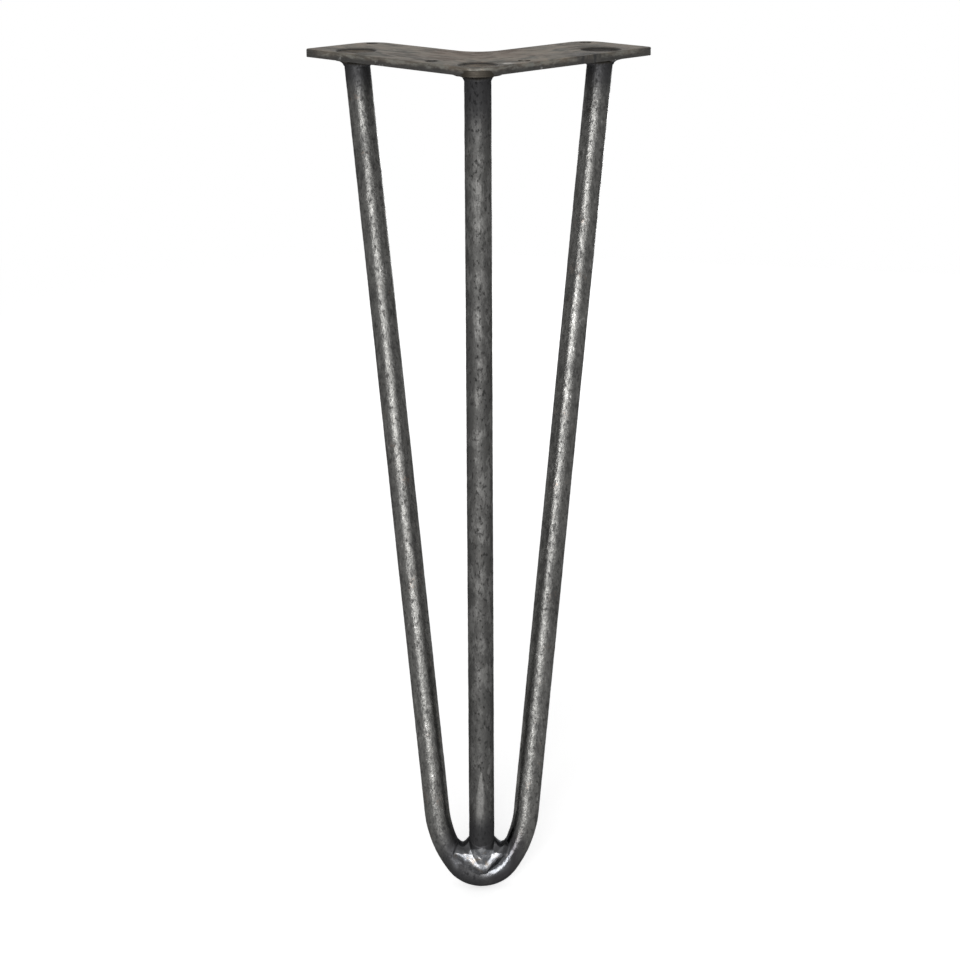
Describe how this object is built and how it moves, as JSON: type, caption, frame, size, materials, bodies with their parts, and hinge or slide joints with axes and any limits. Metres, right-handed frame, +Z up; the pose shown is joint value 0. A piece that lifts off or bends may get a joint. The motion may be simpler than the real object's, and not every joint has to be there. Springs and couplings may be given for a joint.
{
  "type": "hairpin table leg",
  "caption": "Hairpin table leg in raw steel: an L-shaped screw plate carries a round bar bent to a U and a straight corner bar, welded together at the foot and under the plate.",
  "frame": {"origin": "On the mounting plate's top face, midway between the two corner screw holes.", "axes": "+Z up, out of the plate's top face towards the table top; X across the leg, which is alike on both sides of X = 0; the plate's corner and the foot point to -Y."},
  "size_m": [0.168, 0.1236, 0.4063],
  "materials": {
    "plate_steel": "raw hot-rolled plate, warm grey with brown stains and darker cut edges",
    "bar_steel": "raw hot-rolled round bar under dark mill scale, pitted, with a broken bright streak",
    "weld_steel": "bare weld metal, dull under the plate and ground bright at the foot"
  },
  "bodies": {
    "root": {"mounting_plate": "plate_steel", "hairpin_bar": "bar_steel", "corner_bar": "bar_steel", "foot_weld": "weld_steel", "left_plate_weld": "weld_steel", "corner_plate_weld": "weld_steel", "right_plate_weld": "weld_steel", "left_plug_weld": "weld_steel", "corner_plug_weld": "weld_steel", "right_plug_weld": "weld_steel"}
  },
  "joints": []
}
